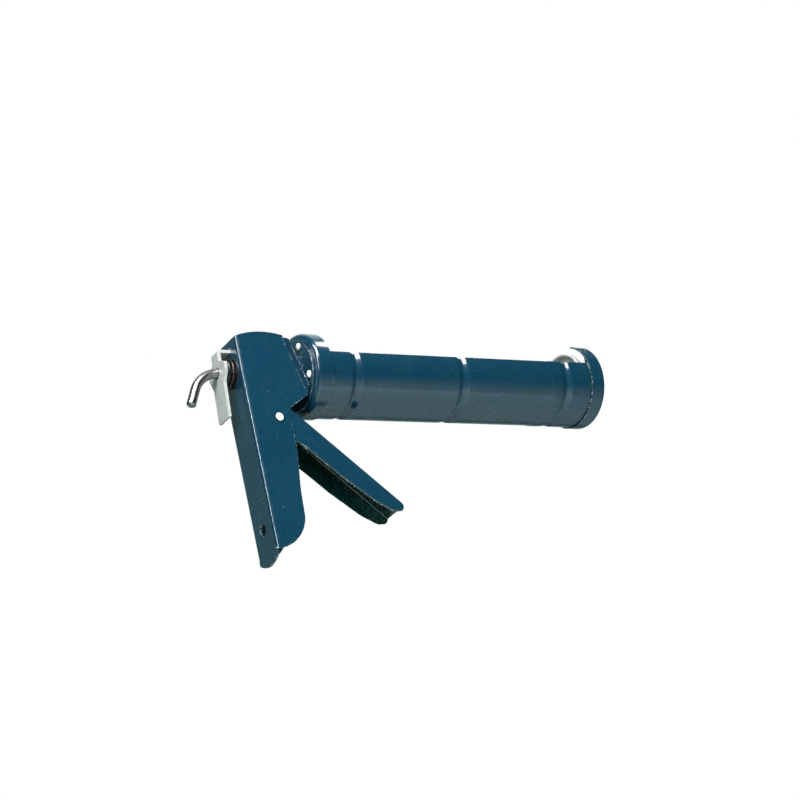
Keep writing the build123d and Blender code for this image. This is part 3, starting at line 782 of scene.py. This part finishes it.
def pivot_rivet_mesh():
    """A rivet right across the frame: a dome with a rolled rim on each end of its shank."""
    low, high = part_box("trigger_pivot_rivet")
    centre = (low + high) / 2
    head = (high.x - low.x) / 2
    wall = high.y - PIVOT_DOME
    half = [(wall, head - PIVOT_NECK), (wall + TINY, head)]
    steps = 10
    for i in range(steps + 1):
        turn = math.pi / 2 * i / steps
        height = PIVOT_DOME * (0.22 + 0.78 * math.sin(turn))
        half.append((wall + height, max(TINY, head * math.cos(turn))))
    profile = half + [(-x, r) for x, r in reversed(half)]
    made = lathe(profile, PIVOT_SIDES)
    turn_to_y = Matrix.Rotation(math.pi / 2, 4, "Z")
    bmesh.ops.transform(made, matrix=Matrix.Translation(centre) @ turn_to_y, verts=made.verts)
    return made


class GUN_OT_trigger(Operator):
    """Trigger lever, its pivot rivet, spacer sleeve and drive pin"""

    bl_idname = "gun.trigger"
    bl_label = "Trigger"

    def execute(self, context):
        s = context.scene.gun_shape
        half_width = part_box("trigger")[1].y
        folded = enamel("blue enamel folded lever", half_width, (0.6, 0.0, 0.8))
        soften(paint_node("trigger", folded), s.edge, 35.0, 3)
        finished_piece(
            "pivot_rivet_domed", pivot_rivet_mesh(), rivet_steel("pivot rivet steel", "Y"), "frame",
            ("trigger_pivot_rivet",),
        )
        soften(paint_node("trigger_sleeve", hard_plate()), 0.2 * MM)
        soften(paint_node("drive_pin", rivet_steel()), 0.3 * MM)
        return {"FINISHED"}


# --- rod and piston ----------------------------------------------------------------------
HOOK_START = -59.8 * MM
HOOK_BEND = 21.8 * MM
HOOK_TURN = math.radians(65.0)
HOOK_TAIL = 13.0 * MM
ROD_CHAMFER = 0.8 * MM
THREAD_LENGTH = 15.0 * MM
THREAD_DEPTH = 0.45 * MM
THREAD_FIT = 0.02 * MM     # between the rod and a nut
NUT_CHAMFER = 0.9 * MM
NUT_SINK = 0.5 * MM


def ring_skin(made, rings):
    """Joins rings of vertices that stand one after the other."""
    for here, there in zip(rings, rings[1:]):
        count = len(here)
        for k in range(count):
            j = (k + 1) % count
            made.faces.new((here[k], here[j], there[j], there[k]))


def rod_mesh(pitch, sides=40):
    """A drawn bar with a bent pull at the rear and a rolled thread at the front."""
    low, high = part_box("rod")
    radius = high.y
    made = bmesh.new()
    stations = []
    end = Vector((
        HOOK_START - HOOK_BEND * math.sin(HOOK_TURN), 0, -HOOK_BEND * (1 - math.cos(HOOK_TURN)),
    ))
    way = Vector((-math.cos(HOOK_TURN), 0, -math.sin(HOOK_TURN)))
    for along, shrink in (
        (HOOK_TAIL, ROD_CHAMFER * 1.02), (HOOK_TAIL - 0.04 * MM, ROD_CHAMFER * 0.94),
        (HOOK_TAIL - 0.94 * ROD_CHAMFER, 0.04 * MM), (HOOK_TAIL - 1.1 * ROD_CHAMFER, 0.0),
        (HOOK_TAIL / 2, 0.0),
    ):
        stations.append((end + way * along, HOOK_TURN, radius - shrink))
    steps = 28
    for i in range(steps + 1):
        turn = HOOK_TURN * (1 - i / steps)
        place = Vector((HOOK_START - HOOK_BEND * math.sin(turn), 0, -HOOK_BEND * (1 - math.cos(turn))))
        stations.append((place, turn, radius))
    rings = []
    for place, turn, r in stations:
        up = Vector((-math.sin(turn), 0, math.cos(turn)))
        ring = []
        for k in range(sides):
            a = 2 * math.pi * k / sides
            ring.append(made.verts.new(place + up * (r * math.cos(a)) + Vector((0, r * math.sin(a), 0))))
        rings.append(ring)
    thread_start = high.x - THREAD_LENGTH
    rows = round(THREAD_LENGTH / pitch * 8)
    stops = [HOOK_START + (thread_start - HOOK_START) * i / 12 for i in range(1, 12)]
    stops += [thread_start + THREAD_LENGTH * i / rows for i in range(rows + 1)]
    for x in stops:
        into = x - thread_start
        ring = []
        for k in range(sides):
            a = 2 * math.pi * k / sides
            r = radius
            if into > 0:
                wave = abs(((x / pitch - k / sides) % 1.0) * 2 - 1)
                groove = THREAD_DEPTH * (1 - wave) * min(1.0, into / pitch)
                r = min(radius - groove, radius - 0.5 * MM + (high.x - x))
            ring.append(made.verts.new((x, r * math.sin(a), r * math.cos(a))))
        rings.append(ring)
    ring_skin(made, rings)
    made.faces.new(rings[0])
    made.faces.new(list(reversed(rings[-1])))
    return made


def nut_mesh(node, bore, sides=72):
    """A hexagon nut with chamfered corners on both faces and a countersunk bore."""
    low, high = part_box(node)
    flats = min(high.y - low.y, high.z - low.z) / 2
    wide_in_y = (high.y - low.y) > (high.z - low.z)
    levels = [0.0, 0.3, 0.6, 1.0]
    outline = [(low.x + NUT_CHAMFER * t, t) for t in levels]
    outline += [(high.x - NUT_CHAMFER * t, t) for t in reversed(levels)]
    made = bmesh.new()
    loops = []
    for x, t in outline:
        loops.append((x, lambda a, t=t: min(hexagon(a, flats, wide_in_y), flats * (0.93 + 0.24 * t))))
    loops += [
        (high.x, lambda a: bore + NUT_SINK), (high.x - NUT_SINK, lambda a: bore),
        (low.x + NUT_SINK, lambda a: bore), (low.x, lambda a: bore + NUT_SINK),
    ]
    rings = [
        [
            made.verts.new((x, size(a) * math.sin(a), size(a) * math.cos(a)))
            for a in (2 * math.pi * k / sides for k in range(sides))
        ]
        for x, size in loops
    ]
    ring_skin(made, rings + rings[:1])
    return made


def hexagon(angle, flats, corner_at_y):
    """Distance from the middle to the side of a hexagon, by angle from Z."""
    sixth = math.pi / 3
    start = 0.0 if corner_at_y else sixth / 2
    off = (angle - start + sixth / 2) % sixth - sixth / 2
    return flats / math.cos(off)


class GUN_OT_rod(Operator):
    """Push rod with its hooked pull and the thread at its front end"""

    bl_idname = "gun.rod"
    bl_label = "Push Rod"

    def execute(self, context):
        s = context.scene.gun_shape
        rod = finished_piece(
            "rod_bent_and_threaded", rod_mesh(s.thread_pitch), rod_steel(), "rod", ("rod",)
        )
        sharp_corners(rod)
        return {"FINISHED"}


class GUN_OT_piston(Operator):
    """Piston disc, its backing disc, the washer and the two nuts"""

    bl_idname = "gun.piston"
    bl_label = "Piston"

    def execute(self, context):
        for name in ("piston_disc", "piston_backing_disc", "piston_washer"):
            soften(paint_node(name, zinc_plate()), 0.15 * MM)
        nuts = (("piston_rear_nut", "rear_nut_chamfered"), ("piston_front_nut", "front_nut_chamfered"))
        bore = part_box("rod")[1].y + THREAD_FIT
        for node, name in nuts:
            nut = finished_piece(name, nut_mesh(node, bore), zinc_plate(), "rod", (node,))
            sharp_corners(nut)
        return {"FINISHED"}


# --- drive and release -------------------------------------------------------------------
COIL_RISE = 1.02            # rise of a closed turn, in thicknesses of the wire
COIL_STEPS = 44             # steps round one turn


def spring_mesh(node, wire, free_turns, closed_turns, sides):
    """A coil along X that fills its node's box, with closed and ground-flat ends."""
    low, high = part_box(node)
    radius = (high.z - low.z) / 2 - wire
    turns = free_turns + 2 * closed_turns
    closed_rise = closed_turns * 2 * wire * COIL_RISE
    length = high.x - low.x - wire
    open_rise = length - 2 * closed_rise
    count = round(turns * COIL_STEPS)
    points = []
    for i in range(count + 1):
        turn = turns * i / count
        if turn < closed_turns:
            x = turn * 2 * wire * COIL_RISE
        elif turn > turns - closed_turns:
            x = length - (turns - turn) * 2 * wire * COIL_RISE
        else:
            share = (turn - closed_turns) / free_turns
            x = closed_rise + open_rise * share
        angle = 2 * math.pi * turn
        points.append(Vector((
            low.x + 0.5 * wire + x, radius * math.sin(angle), radius * math.cos(angle),
        )))
    made = tube(points, wire, sides)
    for vertex in made.verts:
        vertex.co.x = min(high.x, max(low.x, vertex.co.x))
    return made


class GUN_OT_drive(Operator):
    """The pair of drive plates, their return spring and its seat"""

    bl_idname = "gun.drive"
    bl_label = "Drive Plates"

    def execute(self, context):
        s = context.scene.gun_shape
        for name in ("drive_plate_rear", "drive_plate_front"):
            soften(paint_node(name, hard_plate()), 0.2 * MM)
        soften(paint_node("return_spring_seat", zinc_plate()), 0.2 * MM)
        finished_piece(
            "return_spring_coil", spring_mesh("return_spring", 0.75 * MM, 5.0, 1.0, s.spring_sides),
            spring_wire(), "frame", ("return_spring",),
        )
        return {"FINISHED"}


class GUN_OT_release(Operator):
    """Thumb release plate, its coil spring and the seat washer"""

    bl_idname = "gun.release"
    bl_label = "Release Plate"

    def execute(self, context):
        s = context.scene.gun_shape
        soften(paint_node("release_plate", zinc_plate()), 0.25 * MM)
        soften(paint_node("release_spring_seat", hard_plate()), 0.15 * MM)
        finished_piece(
            "release_spring_coil", spring_mesh("release_spring", 0.9 * MM, 1.4, 0.55, s.spring_sides),
            spring_wire(), "frame", ("release_spring",),
        )
        return {"FINISHED"}


# --- stage -------------------------------------------------------------------------------
def look_from(direction, roll=0.0):
    """The turn of a camera or light that looks back along a direction."""
    turn = (-direction).to_track_quat("-Z", "Y").to_matrix()
    return turn @ Matrix.Rotation(-roll, 3, "Z")


def add_camera(s):
    data = bpy.data.cameras.new("camera")
    data.lens = s.lens
    data.sensor_width = 36.0
    data.clip_start = 0.05
    data.clip_end = 50.0
    camera = bpy.data.objects.new("camera", data)
    back = Vector((
        math.sin(s.azimuth) * math.cos(s.elevation),
        -math.cos(s.azimuth) * math.cos(s.elevation),
        math.sin(s.elevation),
    ))
    camera.matrix_world = Matrix.Translation(Vector(s.aim) + back * s.distance) @ look_from(
        back, s.roll
    ).to_4x4()
    bpy.context.scene.collection.objects.link(camera)
    bpy.context.scene.camera = camera


def add_softbox(name, direction, distance, size, power, colour=(1, 1, 1), mirrored=True):
    """A square light that looks at the middle of the gun; mirrored is whether it shines back."""
    data = bpy.data.lights.new(name, "AREA")
    data.shape = "RECTANGLE"
    data.size, data.size_y = size
    data.energy = power
    data.color = colour
    light = bpy.data.objects.new(name, data)
    direction = Vector(direction).normalized()
    centre = (CAD_BOX[0] + CAD_BOX[1]) / 2
    turn = look_from(direction).to_4x4()
    light.matrix_world = Matrix.Translation(centre + direction * distance) @ turn
    light.visible_camera = False
    light.visible_glossy = mirrored
    bpy.context.scene.collection.objects.link(light)
    return light


def pale_material(name, colour, roughness):
    """A pale matt face that stays bright far from the lights and is clear from below."""
    made, shader, w = blank_material(name)
    place = w.node("ShaderNodeTexCoord").outputs["Object"]
    cloud = w.node("ShaderNodeTexNoise", Vector=place, Scale=1.5, Detail=3.0)
    tone = w.mix(cloud.outputs["Fac"], rgba(colour), rgba([c * 0.97 for c in colour]))
    w.tree.links.new(tone, shader.inputs["Base Color"])
    shader.inputs["Roughness"].default_value = roughness
    shader.inputs["Emission Color"].default_value = (1.0, 1.0, 1.0, 1.0)
    seen = w.math("MULTIPLY", w.node("ShaderNodeLightPath").outputs["Is Camera Ray"], 0.72)
    w.tree.links.new(seen, shader.inputs["Emission Strength"])
    from_above = w.math("SUBTRACT", 1.0, w.node("ShaderNodeNewGeometry").outputs["Backfacing"])
    w.tree.links.new(from_above, shader.inputs["Alpha"])
    return made


def add_floor(s):
    """A wide pale disc on which the studio stands."""
    made = bmesh.new()
    bmesh.ops.create_circle(made, cap_ends=True, segments=128, radius=9.0)
    mesh = bpy.data.meshes.new("studio_floor")
    made.to_mesh(mesh)
    made.free()
    mesh.materials.append(pale_material("pale floor", (0.70, 0.80, 0.765), 0.9))
    floor = bpy.data.objects.new("studio_floor", mesh)
    floor.location.z = s.floor_drop
    bpy.context.scene.collection.objects.link(floor)


def add_world():
    """White to the camera; to the gun, a pale sweep behind and below it and a dark room in front."""
    world = bpy.data.worlds.new("studio")
    bpy.context.scene.world = world
    world.use_nodes = True
    tree = world.node_tree
    w = Wiring(tree)
    background = tree.nodes["Background"]
    way = w.node("ShaderNodeTexCoord").outputs["Generated"]
    parts = w.node("ShaderNodeSeparateXYZ", Vector=way)
    behind = w.ramp(parts.outputs["Y"], 0.45, 0.7)
    room = w.mix(behind, (0.012, 0.016, 0.02, 1), (0.15, 0.24, 0.22, 1))
    rays = w.node("ShaderNodeLightPath")
    shown = w.mix(rays.outputs["Is Camera Ray"], room, (1.0, 1.0, 1.0, 1))
    tree.links.new(shown, background.inputs["Color"])


class GUN_OT_stage(Operator):
    """Pale floor, soft studio light and the camera"""

    bl_idname = "gun.stage"
    bl_label = "Stage"

    def execute(self, context):
        s = context.scene.gun_stage
        context.scene.view_settings.view_transform = "Standard"
        add_camera(s)
        add_floor(s)
        add_world()
        add_softbox("key_softbox", (-0.36, -0.60, 0.72), 1.1, (0.72, 0.56), s.key * 2.7)
        add_softbox("left_strip", (-0.80, -0.48, 0.34), 1.2, (0.06, 0.6), s.key * 0.8)
        add_softbox("overhead", (0.5, -0.12, 0.85), 1.0, (0.5, 0.16), s.key * 0.3)
        add_softbox("floor_wash", (0.3, 0.6, 1.0), 2.5, (2.0, 2.0), s.key * 1.0, (0.8, 1.0, 0.9))
        add_softbox("under_fill", (0.2, -0.75, -0.5), 1.0, (1.2, 0.4), s.key * 0.75, (0.8, 1.0, 0.98), False)
        return {"FINISHED"}


# --- panel and registration --------------------------------------------------------------
STEPS = (
    GUN_OT_stage, GUN_OT_barrel, GUN_OT_handle, GUN_OT_trigger, GUN_OT_rod, GUN_OT_piston,
    GUN_OT_drive, GUN_OT_release,
)
SETTINGS = {
    "gun_enamel": EnamelSettings,
    "gun_metal": MetalSettings,
    "gun_shape": ShapeSettings,
    "gun_stage": StageSettings,
}


class GUN_PT_panel(Panel):
    """Lists the gun's settings and building steps"""

    bl_idname = "GUN_PT_panel"
    bl_label = "Caulking Gun"
    bl_space_type = "VIEW_3D"
    bl_region_type = "UI"
    bl_category = "Caulking Gun"

    def draw(self, context):
        layout = self.layout
        for step in STEPS:
            layout.operator(step.bl_idname)
        for name, settings in SETTINGS.items():
            box = layout.box()
            for key in settings.__annotations__:
                box.prop(getattr(context.scene, name), key)


def register():
    for made in (*SETTINGS.values(), *STEPS, GUN_PT_panel):
        bpy.utils.register_class(made)
    for name, settings in SETTINGS.items():
        setattr(bpy.types.Scene, name, PointerProperty(type=settings))


def unregister():
    for name in SETTINGS:
        delattr(bpy.types.Scene, name)
    for made in reversed((*SETTINGS.values(), *STEPS, GUN_PT_panel)):
        bpy.utils.unregister_class(made)


def main():
    register()
    for step in STEPS:
        kind, name = step.bl_idname.split(".")
        getattr(getattr(bpy.ops, kind), name)()


if __name__ == "__main__":
    main()
